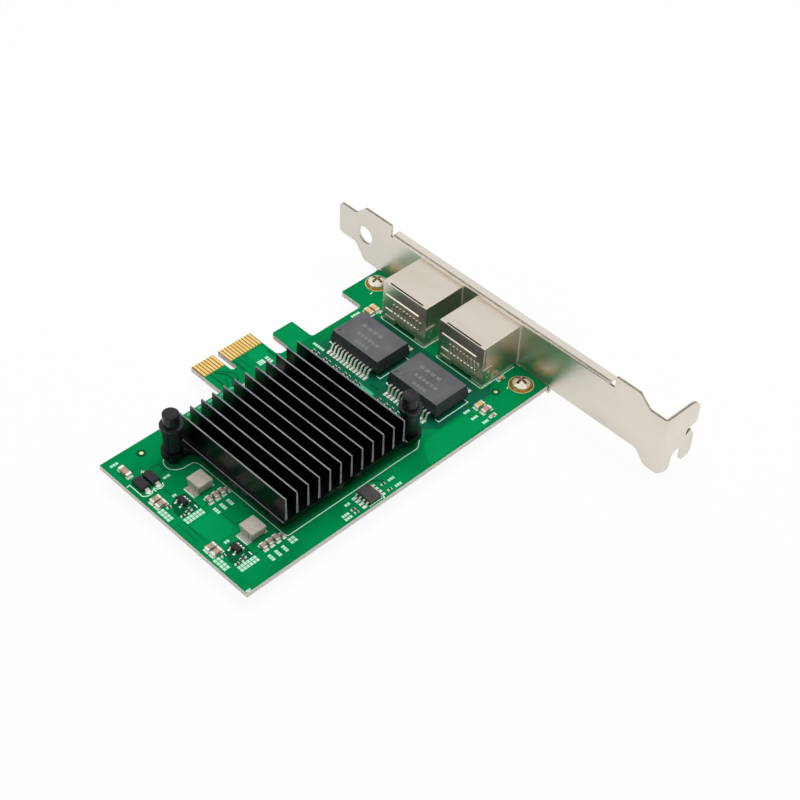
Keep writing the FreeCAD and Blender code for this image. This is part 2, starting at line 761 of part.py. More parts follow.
def thermal_pad():
    """Soft pad between chip and heatsink."""
    return slab(SINK_X, SINK_Y, CHIP_SIZE, CHIP_SIZE, CHIP_TOP, SINK_Z0)


def controller_chip():
    """Square chip under the heatsink."""
    return slab(SINK_X, SINK_Y, CHIP_SIZE, CHIP_SIZE, CHIP_Z0, CHIP_TOP)


def controller_balls():
    """Grid of solder balls under the chip, drawn as six-sided studs."""
    first = -(BALLS - 1) / 2 * BALL_PITCH
    corners = [(BALL_R * math.cos(math.radians(60 * k)), BALL_R * math.sin(math.radians(60 * k)))
               for k in range(6)]
    balls = []
    for row in range(BALLS):
        for column in range(BALLS):
            x = SINK_X + first + column * BALL_PITCH
            y = SINK_Y + first + row * BALL_PITCH
            balls.append(sheet([(x + u, y + w) for u, w in corners], "xy", 0, CHIP_Z0))
    return group(balls)


def push_pin(x, y):
    """Push pin with cap, collar, hollow tapered barrel and barb."""
    profile = (
        (0, -3.6),
        (0.9, -3.6),
        (2.0, UNDER),
        (1.45, UNDER),
        (1.45, SINK_BASE_Z),
        (1.1, SINK_BASE_Z),
        (1.1, 11.4),
        (1.9, 11.4),
        (1.9, SINK_BASE_Z),
        (2.35, SINK_BASE_Z),
        (2.75, 11.9),
        (3.1, 11.9),
        (3.1, 12.9),
        (2.2, 12.9),
        (2.2, 16.5),
        (1.9, 16.8),
        (0, 16.8),
    )
    return turned(profile, x, y)


def pin_spring(x, y):
    """Coil spring inside a push pin's barrel."""
    wire_r = 0.2
    coil_r = 1.5
    height = 11.4 - SINK_BASE_Z - 2 * wire_r
    path = Part.makeHelix(height / 6, height, coil_r)
    centre = Vector(coil_r, 0, 0)
    section = Part.Wire(Part.makeCircle(wire_r, centre, Vector(0, 1, 0)))
    coil = Part.Wire(path.Edges).makePipeShell([section], True, True)
    coil.translate(Vector(x, y, SINK_BASE_Z + wire_r))
    return coil


def chip_solids(share, x, y, axis, length, width, height, face=0, up=1):
    """Body and two end caps of a leadless chip part."""
    end = length * share
    z0, z1 = sorted((face, face + up * height))
    inner0, inner1 = sorted((face + up * 0.04, face + up * (height - 0.03)))
    reach = length / 2 - end
    spans = ((-length / 2, -reach), (reach, length / 2))
    if axis == "x":
        body = slab(x, y, 2 * reach, width - 0.06, inner0, inner1)
        ends = [block(x + a, x + b, y - width / 2, y + width / 2, z0, z1) for a, b in spans]
    else:
        body = slab(x, y, width - 0.06, 2 * reach, inner0, inner1)
        ends = [block(x - width / 2, x + width / 2, y + a, y + b, z0, z1) for a, b in spans]
    return body, ends


def save_chips(name, places, share=END_SHARE):
    """Bodies and metal ends of a list of chip parts, as two nodes."""
    bodies = []
    ends = []
    for place in places:
        body, caps = chip_solids(share, *place)
        bodies.append(body)
        ends += caps
    save(name + "_bodies", group(bodies))
    save(name + "_ends", group(ends))


def under_capacitors():
    """Decoupling capacitors on the solder side, below the chip."""
    return [(x, y, "x") + TINY_CHIP + (UNDER, -1) for x in UNDER_CAP_XS for y in UNDER_CAP_YS]


def inductor_core(x, y):
    """Power inductor: a rounded cap on a narrower block."""
    cap = slab(x, y, *INDUCTOR_CAP, INDUCTOR_CAP_Z, INDUCTOR_TOP)
    rims = [e for e in cap.Edges if e.BoundBox.ZLength > 0.5 or e.BoundBox.ZMin > INDUCTOR_TOP - 0.01]
    foot = slab(x, y, 2 * INDUCTOR_HALF_X, INDUCTOR_FOOT_Y, TERMINAL_T, INDUCTOR_CAP_Z)
    return joined([cap.makeFillet(0.3, rims), foot])


def inductor_terminals(x, y):
    """Two slotted end plates that fold out on the board."""
    y0 = y - TERMINAL_HALF_Y
    y1 = y + TERMINAL_HALF_Y
    plates = []
    for side, reach in TERMINAL_REACHES.items():
        inner = x + side * INDUCTOR_HALF_X
        x0, x1 = sorted((inner, x + side * reach))
        foot = block(x0, x1, y0, y1, 0, TERMINAL_T)
        x0, x1 = sorted((inner, inner + side * TERMINAL_T))
        upright = block(x0, x1, y0, y1, TERMINAL_T, INDUCTOR_CAP_Z)
        slot = block(x0, x1, y + 0.85, y + 1.2, 0.7, INDUCTOR_CAP_Z)
        plates.append(joined([foot, upright.cut(slot)]))
    return plates


def regulator_leads(x, y):
    """Two leads on the rear side and three on the other."""
    rear = lead_row(x, y, 1, 2, 0.8, 1.45, 0.5, 0.4, 0.15, 1.9)
    front = lead_row(x, y, -1, 3, 0.8, 1.45, 0.5, 0.4, 0.15, 0.95)
    return rear + front


def diode_leads(x, y):
    """Flat end leads stepping down to the board."""
    leads = []
    for side in (-1, 1):
        lead = gull_lead(side, 2.15, 2.85, 0.5, 1.1, 0.25)
        lead.rotate(Vector(0, 0, 0), Vector(0, 0, 1), 90)
        lead.translate(Vector(x, y, 0))
        leads.append(lead)
    return leads


def memory_leads():
    """Four leads a side."""
    x, y = MEMORY
    return lead_row(x, y, 1, 4, 1.95, 3.2, 0.7, 0.42, 0.2) + lead_row(x, y, -1, 4, 1.95, 3.2, 0.7, 0.42, 0.2)


os.makedirs("parts", exist_ok=True)
save("circuit_board", board())
save("edge_contacts", edge_contacts())
save("plated_pads", plated_pads())
save("bracket", bracket())
save("bracket_screws", bracket_screws())
for port, port_y in PORT_YS.items():
    save_port(port, port_y)
save("solder_joints", solder_joints())
for key, (tx, ty) in TRANSFORMERS.items():
    save("transformer_" + key, transformer_body(tx, ty))
    save("transformer_" + key + "_leads", transformer_leads(tx, ty))
save("heatsink", heatsink())
save("thermal_pad", thermal_pad())
save("controller_chip", controller_chip())
save("controller_balls", controller_balls())
for key, (px, py) in PUSH_PINS.items():
    save("push_pin_" + key, push_pin(px, py))
save("pin_springs", group([pin_spring(px, py) for px, py in PUSH_PINS.values()]))
save("inductor_cores", group([inductor_core(x, y) for x, y in INDUCTORS]))
save("inductor_terminals", group([clip for x, y in INDUCTORS for clip in inductor_terminals(x, y)]))
save("regulator_bodies", packages(REGULATORS, REGULATOR_SIZE, REGULATOR_TOP, 0.06))
save("regulator_leads", group([lead for x, y in REGULATORS for lead in regulator_leads(x, y)]))
save("diode_bodies", packages(DIODES, DIODE_SIZE, DIODE_TOP, 0.1))
save("diode_leads", group([lead for x, y in DIODES for lead in diode_leads(x, y)]))
save("memory_chip", packages([MEMORY], MEMORY_SIZE, MEMORY_TOP, 0.12))
save("memory_chip_leads", group(memory_leads()))
save_chips("capacitor", list(CAPACITORS) + under_capacitors())
save_chips("line_capacitor", LINE_CAPACITORS, LINE_END_SHARE)
save_chips("resistor", list(RESISTORS) + [(ROW_X, y, "x") + TINY_CHIP for y in ROW_YS])
save("crystal", slab(*CRYSTAL, *CRYSTAL_SIZE, 0, CRYSTAL_H))
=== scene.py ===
import json
import math

import bmesh
import bpy
from mathutils import Matrix, Vector


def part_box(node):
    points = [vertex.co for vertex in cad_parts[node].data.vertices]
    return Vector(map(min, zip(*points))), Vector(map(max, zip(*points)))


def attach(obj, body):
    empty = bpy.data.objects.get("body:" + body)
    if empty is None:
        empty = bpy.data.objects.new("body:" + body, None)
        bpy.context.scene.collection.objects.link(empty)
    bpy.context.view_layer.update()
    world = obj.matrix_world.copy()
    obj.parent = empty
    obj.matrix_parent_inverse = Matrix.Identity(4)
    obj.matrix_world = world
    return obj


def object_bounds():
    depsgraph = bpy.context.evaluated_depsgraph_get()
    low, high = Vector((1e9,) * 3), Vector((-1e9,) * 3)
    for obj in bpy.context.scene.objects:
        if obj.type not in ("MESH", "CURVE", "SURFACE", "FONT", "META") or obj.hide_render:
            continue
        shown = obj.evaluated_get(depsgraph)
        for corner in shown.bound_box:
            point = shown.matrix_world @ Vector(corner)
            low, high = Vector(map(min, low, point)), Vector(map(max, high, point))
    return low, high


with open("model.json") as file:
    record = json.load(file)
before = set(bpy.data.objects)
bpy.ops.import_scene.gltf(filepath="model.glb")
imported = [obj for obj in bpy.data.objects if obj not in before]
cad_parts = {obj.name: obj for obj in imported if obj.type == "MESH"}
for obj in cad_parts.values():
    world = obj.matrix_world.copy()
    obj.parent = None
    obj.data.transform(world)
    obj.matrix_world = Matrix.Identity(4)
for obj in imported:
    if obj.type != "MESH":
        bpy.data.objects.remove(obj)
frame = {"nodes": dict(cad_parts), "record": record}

# Network interface card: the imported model, dressed with ink, solder lands,
# copper under the mask and procedural materials.
# Pieces are placed in the card's own axes, in millimetres:
#   x from the bracket towards the rear edge,
#   y from the edge tab towards the top edge,
#   z up from the board's component face.
# Colours are written as 0-255 screen values, always as a dark and a light one
# that a noise pattern wanders between.

CAD_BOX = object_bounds()
MM = 0.001
TINY = 1e-6

# Lowest corner of the board, in card millimetres
BOARD_START_X = 0.3
TAB_TIP_Y = -0.6
BOARD_LO, BOARD_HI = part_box("circuit_board")
CARD = Vector((BOARD_LO.x - BOARD_START_X * MM, BOARD_LO.y - TAB_TIP_Y * MM, BOARD_HI.z))

# Heights of the thin layers over the board, mm
ZONE_Z = 0.008
COPPER_Z = 0.012
LINE_Z = 0.016
INK_Z = 0.028
LAND_Z = 0.06
PART_INK_Z = 0.01
TRIM_Z = 0.02

# Widths of the printed lines, mm
OUTLINE_WIDTH = 0.28
DIODE_LINE_WIDTH = 0.26
TOUCH_WIDTH = 0.3


# ---------------------------------------------------------------- places

def at(x, y, z=0.0):
    """Point in the frame from card millimetres."""
    return CARD + Vector((x, y, z)) * MM


def card_mm(point):
    """Card millimetres of a point in the frame."""
    return (point - CARD) / MM


def middle(box):
    """Middle of a box."""
    return (box[0] + box[1]) / 2


def node_box(node):
    """Box of a CAD node, in card millimetres."""
    return [card_mm(corner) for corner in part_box(node)]


def joined_points(bm):
    """Groups of points, in card millimetres, that edges join to each other."""
    unseen = set(bm.verts)
    while unseen:
        stack = [unseen.pop()]
        found = []
        while stack:
            vert = stack.pop()
            found.append(card_mm(vert.co))
            for edge in vert.link_edges:
                other = edge.other_vert(vert)
                if other in unseen:
                    unseen.remove(other)
                    stack.append(other)
        yield found


def solids_of(node):
    """Boxes, in card millimetres, of the separate solids of a CAD node."""
    bm = bmesh.new()
    bm.from_mesh(frame["nodes"][node].data)
    bmesh.ops.remove_doubles(bm, verts=bm.verts, dist=TINY)
    boxes = []
    for found in joined_points(bm):
        lo = Vector([min(p[i] for p in found) for i in range(3)])
        hi = Vector([max(p[i] for p in found) for i in range(3)])
        boxes.append((lo, hi))
    bm.free()
    return sorted(boxes, key=lambda box: tuple(round(v, 3) for v in box[0]))


SHIELD_BOXES = [node_box("port_%s_shield" % letter) for letter in "ab"]
TRANSFORMER_BOXES = [node_box("transformer_" + letter) for letter in "ab"]
SINK_MIDDLE = middle(node_box("heatsink"))


# ---------------------------------------------------------------- shader nodes

DARK_STOP, LIGHT_STOP = 0.3, 0.7
NOISE_DETAIL = 3.0
RELIEF_DEPTH = 0.02 * MM
COAT_ROUGHNESS = 0.08
WHITE = (1, 1, 1, 1)

# How squarely a face looks along an axis, from 0 to 1, to count as looking there
SQUARE = 0.5
DRAFTED = 0.6
FLAT = 0.95


def linear(colour):
    """Linear colour from 0-255 screen values."""
    shares = [c / 255 for c in colour]
    curved = [s / 12.92 if s <= 0.04045 else ((s + 0.055) / 1.055) ** 2.4 for s in shares]
    return (*curved, 1.0)


def add(tree, kind, sockets=None, **settings):
    """New shader node, with sockets set or linked by name or number."""
    node = tree.nodes.new("ShaderNode" + kind)
    for key, value in settings.items():
        setattr(node, key, value)
    for key, value in (sockets or {}).items():
        if isinstance(value, bpy.types.NodeSocket):
            tree.links.new(value, node.inputs[key])
        else:
            node.inputs[key].default_value = value
    return node


def noise(tree, grain, stretch=(1, 1, 1)):
    """Noise in object space, grain in blobs a metre."""
    place = add(tree, "TexCoord")
    scaled = add(tree, "Mapping", {"Vector": place.outputs["Object"], "Scale": stretch})
    made = add(tree, "TexNoise", {
        "Vector": scaled.outputs["Vector"], "Scale": grain, "Detail": NOISE_DETAIL})
    return made.outputs["Fac"]


def tint(tree, dark, light, grain, stretch=(1, 1, 1)):
    """Colour that wanders between a dark and a light tone."""
    node = add(tree, "ValToRGB", {"Fac": noise(tree, grain, stretch)})
    stops = zip(node.color_ramp.elements, (DARK_STOP, LIGHT_STOP), (dark, light))
    for element, place, colour in stops:
        element.position = place
        element.color = linear(colour)
    return node.outputs["Color"]


def maths(tree, operation, first, second=0.0, third=0.0):
    """One arithmetic step."""
    node = add(tree, "Math", {0: first, 1: second, 2: third}, operation=operation)
    return node.outputs[0]


def above(tree, value, limit):
    """1 where a value is above a limit, otherwise 0."""
    return maths(tree, "GREATER_THAN", value, limit)


def below(tree, value, limit):
    """1 where a value is below a limit, otherwise 0."""
    return maths(tree, "LESS_THAN", value, limit)


def both(tree, first, second):
    """Share where both shares hold."""
    return maths(tree, "MULTIPLY", first, second)


def either(tree, first, second):
    """Share where one of two shares holds."""
    return maths(tree, "MAXIMUM", first, second)


def position(tree):
    """Place of a surface point in the frame, as X, Y and Z."""
    place = add(tree, "TexCoord")
    return add(tree, "SeparateXYZ", {"Vector": place.outputs["Object"]}).outputs


def facing(tree, axis):
    """How squarely a face looks along x, y or z, from 0 to 1."""
    geometry = add(tree, "NewGeometry")
    parts = add(tree, "SeparateXYZ", {"Vector": geometry.outputs["True Normal"]})
    return maths(tree, "ABSOLUTE", parts.outputs[axis])


# ---------------------------------------------------------------- materials

def surface(name, dark, light, rough, metal=0.0, grain=500, stretch=(1, 1, 1),
            fine=6000, bump=0.1, specular=0.5, coat=0.0):
    """Material whose colour, gloss and relief vary in object space."""
    material = bpy.data.materials.new(name)
    material.use_nodes = True
    tree = material.node_tree
    shader = tree.nodes["Principled BSDF"]
    tree.links.new(tint(tree, dark, light, grain, stretch), shader.inputs["Base Color"])
    small = noise(tree, fine, stretch)
    gloss = add(tree, "MapRange", {"Value": small, "To Min": rough[0], "To Max": rough[1]})
    tree.links.new(gloss.outputs["Result"], shader.inputs["Roughness"])
    relief = add(tree, "Bump", {"Height": small, "Strength": bump, "Distance": RELIEF_DEPTH})
    tree.links.new(relief.outputs["Normal"], shader.inputs["Normal"])
    shader.inputs["Metallic"].default_value = metal
    shader.inputs["Specular IOR Level"].default_value = specular
    shader.inputs["Coat Weight"].default_value = coat
    shader.inputs["Coat Roughness"].default_value = COAT_ROUGHNESS
    return material


def recolour(material, share_of, dark, light, grain, stretch=(1, 1, 1)):
    """Put another tint over a material's own, by the share that share_of(tree) makes."""
    tree = material.node_tree
    shader = tree.nodes["Principled BSDF"]
    own = shader.inputs["Base Color"].links[0].from_socket
    over = add(tree, "MixRGB", {
        "Fac": share_of(tree), "Color1": own, "Color2": tint(tree, dark, light, grain, stretch)})
    tree.links.new(over.outputs["Color"], shader.inputs["Base Color"])


def board_material():
    """Satin green mask, pale laminate at the cut edges, bare resin between the contacts."""
    contact_end_y = 4.95
    tab_start_x = 44.0

    def cut_edges(tree):
        return below(tree, facing(tree, "Z"), SQUARE)

    def contact_zone(tree):
        place = position(tree)
        low = below(tree, place["Y"], at(0, contact_end_y).y)
        inside = above(tree, place["X"], at(tab_start_x, 0).x)
        zone = both(tree, low, inside)
        return both(tree, zone, above(tree, facing(tree, "Z"), SQUARE))

    material = surface("board_mask", (0, 122, 67), (0, 144, 82), (0.3, 0.42), grain=60,
                       fine=3000, bump=0.03, specular=0.015)
    recolour(material, cut_edges, (210, 206, 198), (242, 238, 231), 2500, (1, 1, 6))
    recolour(material, contact_zone, (122, 88, 34), (150, 112, 50), 2500)
    return material


def transformer_material():
    """Grey moulding, with painted shade darkening its drafted sides."""
    # Painted shade: the sides get a darker tone than the top
    def shaded_sides(tree):
        return below(tree, facing(tree, "Z"), DRAFTED)

    material = surface("grey_moulding", (84, 84, 89), (102, 101, 105), (0.42, 0.52),
                       grain=160, fine=7000, bump=0.08, specular=0.3)
    recolour(material, shaded_sides, (46, 48, 51), (60, 62, 65), 900)
    return material


def heatsink_material():
    """Black anodised extrusion, greyer on the fin tops and base rims as painted highlight, and
    on the sawn fin ends, partly bare metal and partly painted highlight.
    """
    # The base, from the board and from the heatsink's middle, and the strips
    # along its two rims, a painted highlight nearly as grey as the fins' sawn edges
    base_top_z = 5.0
    base_half = 20.75
    rim_inset = 0.2
    rim_half_width = 0.21
    rim_highlight_share = 0.9

    # Painted highlight in grey on the fin tops and rim strips; the sawn fin ends are partly bare
    # metal, partly painted highlight
    def edges(tree):
        place = position(tree)
        over_base = above(tree, place["Z"], at(0, 0, base_top_z).z)
        fins = both(tree, over_base, below(tree, facing(tree, "X"), DRAFTED))
        aside = maths(tree, "SUBTRACT", place["X"], middle(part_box("heatsink")).x)
        offset = maths(tree, "ABSOLUTE", aside)
        strip = maths(tree, "COMPARE", offset, (base_half - rim_inset) * MM,
                      rim_half_width * MM)
        rim = both(tree, strip, above(tree, facing(tree, "Z"), DRAFTED))
        return either(tree, fins, both(tree, rim, rim_highlight_share))

    material = surface("black_anodised", (3, 3, 6), (8, 8, 12), (0.2, 0.3), grain=260,
                       stretch=(1, 0.15, 1), fine=2500, bump=0.04, specular=0.25)
    recolour(material, edges, (108, 109, 116), (148, 149, 156), 900, (1, 0.2, 1))
    return material


def bracket_material():
    """Plated sheet, duller where it was sheared."""
    # Cut edges that look up: the web's from here towards the board, and the
    # screw tab's from here outward
    sheet_x = -0.6
    tab_y = 106.3

    def sheared(tree):
        place = position(tree)
        in_sheet = above(tree, place["X"], at(sheet_x, 0).x)
        in_tab = above(tree, place["Y"], at(0, tab_y).y)
        level = above(tree, facing(tree, "Z"), SQUARE)
        return both(tree, level, either(tree, in_sheet, in_tab))

    material = surface("plated_steel", (207, 203, 192), (226, 218, 207), (0.3, 0.38),
                       metal=1.0, grain=60, stretch=(1, 0.4, 1), fine=900, bump=0.02)
    recolour(material, sheared, (122, 117, 104), (156, 150, 136), 900)
    return material


def screw_material():
    """Bright screw plating, with painted shade darkening the floor of the cross recess."""
    recess_depth = 0.5

    # Painted shade: the level floor of the cross recess is darkened
    def recess_floor_shade(tree):
        floor_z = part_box("bracket_screws")[1].z - recess_depth * MM
        deep = below(tree, position(tree)["Z"], floor_z)
        return both(tree, deep, above(tree, facing(tree, "Z"), FLAT))

    material = surface("screw_plating", (216, 208, 186), (238, 232, 216), (0.1, 0.2),
                       metal=1.0, grain=900, fine=2600, bump=0.05)
    recolour(material, recess_floor_shade, (44, 34, 20), (84, 68, 44), 1500)
    return material


# Materials of the record's slots
MATERIALS = {
    "board": board_material(),
    "gold": surface("hard_gold", (238, 196, 109), (252, 222, 149), (0.3, 0.42),
                    metal=1.0, grain=700, stretch=(3, 0.3, 1), bump=0.04),
    "bracket_steel": bracket_material(),
    "screw_nickel": screw_material(),
    "shield": surface("nickel_shield", (207, 199, 184), (216, 208, 195), (0.28, 0.36),
                      metal=1.0, grain=140, stretch=(1, 0.3, 1), fine=900, bump=0.02),
    "port_plastic": surface("black_insert", (16, 16, 17), (26, 26, 28), (0.45, 0.6),
                            bump=0.2),
    "contact_gold": surface("contact_plating", (214, 160, 66), (240, 196, 104), (0.2, 0.32),
                            metal=1.0, grain=1500, bump=0.05),
    "indicator": surface("light_window", (196, 208, 180), (220, 226, 200), (0.12, 0.2),
                         grain=800, bump=0.05, coat=0.3),
    "solder": surface("solder", (186, 188, 188), (222, 223, 220), (0.22, 0.42),
                      metal=1.0, grain=2200, fine=5000, bump=0.25),
    "transformer": transformer_material(),
    "lead_tin": surface("tin_plating", (236, 235, 222), (252, 250, 239), (0.3, 0.44),
                        metal=0.6, grain=2500, bump=0.06),
    "heatsink_black": heatsink_material(),
    "thermal_pad": surface("soft_pad", (104, 104, 110), (124, 124, 130), (0.7, 0.85),
                           fine=4000, bump=0.5),
    "chip": surface("black_package", (30, 29, 31), (42, 41, 43), (0.42, 0.56),
                    grain=1500, fine=9000, bump=0.15, specular=0.3),
    "push_pin": surface("black_nylon", (22, 22, 26), (32, 32, 37), (0.2, 0.3),
                        grain=700, bump=0.06, specular=0.27),
    "spring": surface("spring_wire", (140, 140, 140), (170, 170, 168), (0.25, 0.35),
                      metal=1.0, bump=0.05),
    "ferrite": surface("pressed_powder", (174, 166, 156), (194, 186, 175), (0.45, 0.6),
                       metal=0.1, grain=700, fine=7000, bump=0.15),
    "ceramic": surface("brown_ceramic", (160, 133, 117), (194, 166, 148), (0.34, 0.48),
                       grain=1800, bump=0.1),
    "ceramic_orange": surface("tan_ceramic", (214, 166, 116), (234, 192, 140), (0.34, 0.48),
                              grain=1800, bump=0.1),
    "resistor": surface("glazed_black", (34, 40, 38), (52, 58, 54), (0.3, 0.42),
                        grain=1800, bump=0.06),
    "crystal_can": surface("can_lid", (186, 182, 172), (208, 204, 194), (0.22, 0.32),
                           metal=1.0, bump=0.05),
}

# Materials of single CAD nodes that differ from others of their slot
OWN_MATERIALS = {
    "memory_chip": surface("grey_package", (54, 53, 52), (72, 71, 68), (0.4, 0.55),
                           grain=900, fine=9000, bump=0.15),
    "plated_pads": surface("pad_gold", (132, 96, 34), (196, 152, 74), (0.16, 0.3),
                           metal=1.0, grain=700, bump=0.05),
    "inductor_terminals": surface("dull_tin", (172, 170, 162), (204, 201, 192), (0.36, 0.5),
                                  metal=0.45, grain=1500, bump=0.08),
}

# Materials of the pieces that are added here
BRIGHT_GOLD = surface("bright_gold", (226, 206, 150), (246, 234, 194), (0.3, 0.42),
                      metal=0.7, grain=900, bump=0.05)
# Painted highlight: a paler, less metallic nickel for the lit lips and flap edges of the port
# shields
HIGHLIT_NICKEL = surface("nickel_painted_highlight", (226, 222, 206), (244, 240, 228), (0.3, 0.4),
                        metal=0.35, grain=500, bump=0.03)
# Painted shade: near-black sheets standing for the shadow inside the port shields' slots
DEEP_SHADE = surface("painted_slot_shade", (10, 9, 8), (20, 18, 16), (0.7, 0.85),
                     grain=1500, bump=0.05, specular=0.05)
INK = surface("pale_ink", (176, 230, 202), (206, 246, 224), (0.5, 0.65),
              grain=1500, fine=9000, bump=0.1, specular=0.1)
FINE_INK = surface("fine_ink", (214, 255, 234), (236, 255, 246), (0.5, 0.65),
                   grain=2500, fine=9000, bump=0.1, specular=0.1)
LAND_TIN = surface("tinned_land", (222, 232, 222), (246, 250, 244), (0.35, 0.5),
                   metal=0.3, grain=1600, fine=4000, bump=0.1)
LIGHT_MASK = surface("mask_over_copper", (0, 142, 80), (4, 154, 88), (0.3, 0.42),
                     grain=60, fine=3000, bump=0.03, specular=0.015)
PALE_MASK = surface("pale_mask", (60, 172, 122), (84, 190, 142), (0.3, 0.42),
                    grain=200, fine=3000, bump=0.03, specular=0.04)
BARE_LAMINATE = surface("mask_over_laminate", (0, 92, 62), (8, 106, 76), (0.3, 0.44),
                        grain=120, fine=3000, bump=0.04, specular=0.08)
GAP_MASK = surface("mask_in_gaps", (0, 84, 48), (0, 98, 56), (0.3, 0.44),
                   grain=200, fine=3000, bump=0.04, specular=0.04)
FAINT_PRINT = surface("faint_print", (114, 113, 117), (130, 129, 132), (0.55, 0.7),
                      grain=3000, bump=0.1, specular=0.2)


# ---------------------------------------------------------------- mesh helpers

# A mitred corner widens its strip to twice the width at most
MITRE_LIMIT = 0.5

# Share of each step that a bar or a small box fills
DASH_FILL = 0.84
CELL_FILL = 0.82


def prism(bm, points, z0, z1, taper=0.0):
    """Thin solid from an outline of (x, y) points, its top drawn in by taper."""
    centre = Vector((sum(p[0] for p in points), sum(p[1] for p in points))) / len(points)
    low = [bm.verts.new(at(x, y, z0)) for x, y in points]
    high = []
    for x, y in points:
        away = Vector((x, y)) - centre
        keep = max(0.0, 1 - taper / max(away.length, TINY))
        spot = centre + away * keep
        high.append(bm.verts.new(at(spot.x, spot.y, z1)))
    bm.faces.new(list(reversed(low)))
    bm.faces.new(high)
    for i in range(len(points)):
        j = (i + 1) % len(points)
        bm.faces.new((low[i], low[j], high[j], high[i]))


def rect(bm, x0, x1, y0, y1, z0, z1, taper=0.0):
    """Thin box between two corners."""
    prism(bm, ((x0, y0), (x1, y0), (x1, y1), (x0, y1)), z0, z1, taper)


def stroke(bm, start, end, width, z0, z1):
    """Straight bar from one point to another."""
    a, b = Vector(start), Vector(end)
    along = (b - a).normalized()
    side = Vector((-along.y, along.x)) * width / 2
    prism(bm, [tuple(p) for p in (a - side, b - side, b + side, a + side)], z0, z1)


def ribbon(bm, points, width, z0, z1, closed=False):
    """Mitred strip of one width along a path."""
    path = [Vector(p) for p in points]
    count = len(path)
    rings = []
    for i, spot in enumerate(path):
        before = path[i - 1] if closed or i > 0 else None
        after = path[(i + 1) % count] if closed or i < count - 1 else None
        into = (spot - before if before is not None else after - spot).normalized()
        out = (after - spot).normalized() if after is not None else into
        mean = (into + out).normalized()
        side = Vector((-mean.y, mean.x))
        square = max(MITRE_LIMIT, side.dot(Vector((-into.y, into.x))))
        offset = side * (width / 2 / square)
        right, left = spot - offset, spot + offset
        corners = ((right, z0), (left, z0), (left, z1), (right, z1))
        rings.append([bm.verts.new(at(p.x, p.y, z)) for p, z in corners])
    for i in range(count if closed else count - 1):
        a, b = rings[i], rings[(i + 1) % count]
        for k in range(4):
            m = (k + 1) % 4
            bm.faces.new((a[k], b[k], b[m], a[m]))
    if not closed:
        bm.faces.new(rings[0])
        bm.faces.new(list(reversed(rings[-1])))


def circle_points(x, y, r, count):
    """Points round a circle."""
    angles = [math.radians(360 * i / count) for i in range(count)]
    return [(x + r * math.cos(a), y + r * math.sin(a)) for a in angles]


def hoop(bm, x, y, r, width, z0, z1, count=40):
    """Flat ring."""
    ribbon(bm, circle_points(x, y, r, count), width, z0, z1, closed=True)


def dashes(bm, start, end, count, width, z0=0.0, z1=INK_Z, fill=DASH_FILL):
    """Row of short bars standing for a reference mark."""
    a, b = Vector(start), Vector(end)
    step = (b - a) / count
    for i in range(count):
        first = a + step * i
        stroke(bm, first, first + step * fill, width, z0, z1)


def cells(bm, x0, x1, y0, y1, across, up):
    """Block of small boxes standing for a column of reference marks."""
    step_x = (x1 - x0) / across
    step_y = (y1 - y0) / up
    for i in range(across):
        for j in range(up):
            left = x0 + i * step_x
            low = y0 + j * step_y
            rect(bm, left, left + step_x * CELL_FILL, low, low + step_y * CELL_FILL, 0, INK_Z)


def new_object(name, bm, material):
    """Turn a bmesh into an object of one material."""
    mesh = bpy.data.meshes.new(name)
    bm.to_mesh(mesh)
    bm.free()
    mesh.materials.append(material)
    made = bpy.data.objects.new(name, mesh)
    bpy.context.scene.collection.objects.link(made)
    return made


def finish_piece(name, bm, material):
    """Turn a bmesh into a piece that rides with the card."""
    bmesh.ops.recalc_face_normals(bm, faces=bm.faces)
    piece = new_object(name, bm, material)
    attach(piece, "root")


# ---------------------------------------------------------------- CAD nodes

# Width of the rounded edges, mm, and the nodes that have them
EDGE_WIDTHS = (
    (0.12, ("bracket", "transformer_a", "transformer_b", "inductor_cores")),
    (0.1, ("push_pin_a", "push_pin_b", "diode_bodies", "capacitor_ends",
           "line_capacitor_ends")),
    (0.08, ("memory_chip", "port_a_shield", "port_b_shield", "bracket_screws")),
    (0.06, ("capacitor_bodies", "line_capacitor_bodies", "resistor_ends", "heatsink")),
)
EDGE_SEGMENTS = 2

# Only edges sharper than this are rounded, in degrees
EDGE_ANGLE = 50

# Points of the mesh this near to each other are one, mm
WELD_REACH = 0.002


def dress_nodes():
    """Give every CAD node its own material, or the one of its slot."""
    for part in frame["record"]["subparts"]:
        node = frame["nodes"][part["node"]]
        material = OWN_MATERIALS.get(part["node"], MATERIALS[part["material_slot"]])
        if node.material_slots:
            node.material_slots[0].material = material
        else:
            node.data.materials.append(material)


def soften(name, width):
    """Small rounded edges on a CAD node, by modifiers only."""
    node = frame["nodes"][name]
    bpy.context.view_layer.objects.active = node
    bpy.ops.mesh.customdata_custom_splitnormals_clear()
    node.data.polygons.foreach_set("use_smooth", [True] * len(node.data.polygons))
    weld = node.modifiers.new("weld", "WELD")
    weld.merge_threshold = WELD_REACH * MM
    bevel = node.modifiers.new("edges", "BEVEL")
    bevel.width = width * MM
    bevel.segments = EDGE_SEGMENTS
    bevel.limit_method = "ANGLE"
    bevel.angle_limit = math.radians(EDGE_ANGLE)
    bevel.use_clamp_overlap = True
    shade = node.modifiers.new("normals", "WEIGHTED_NORMAL")
    shade.keep_sharp = False


# ---------------------------------------------------------------- ink

# Half of the line round the heatsink, with one of its ears, from its middle. The
# other half is the same, turned round. Each corner is cut twice, by CORNER_REACH.
SINK_HALF_LINE = (
    (20.2, -20.75), (24.2, -20.9), (25.4, -19.95), (26.5, -19.15), (27.2, -17.65),
    (27.0, -15.75), (25.9, -14.55), (24.2, -13.85), (22.1, -13.85), (20.9, -13.65),
    (20.3, -12.15), (20.2, 20.75),
)
CORNER_REACH = 0.45
CORNER_CUTS = 2

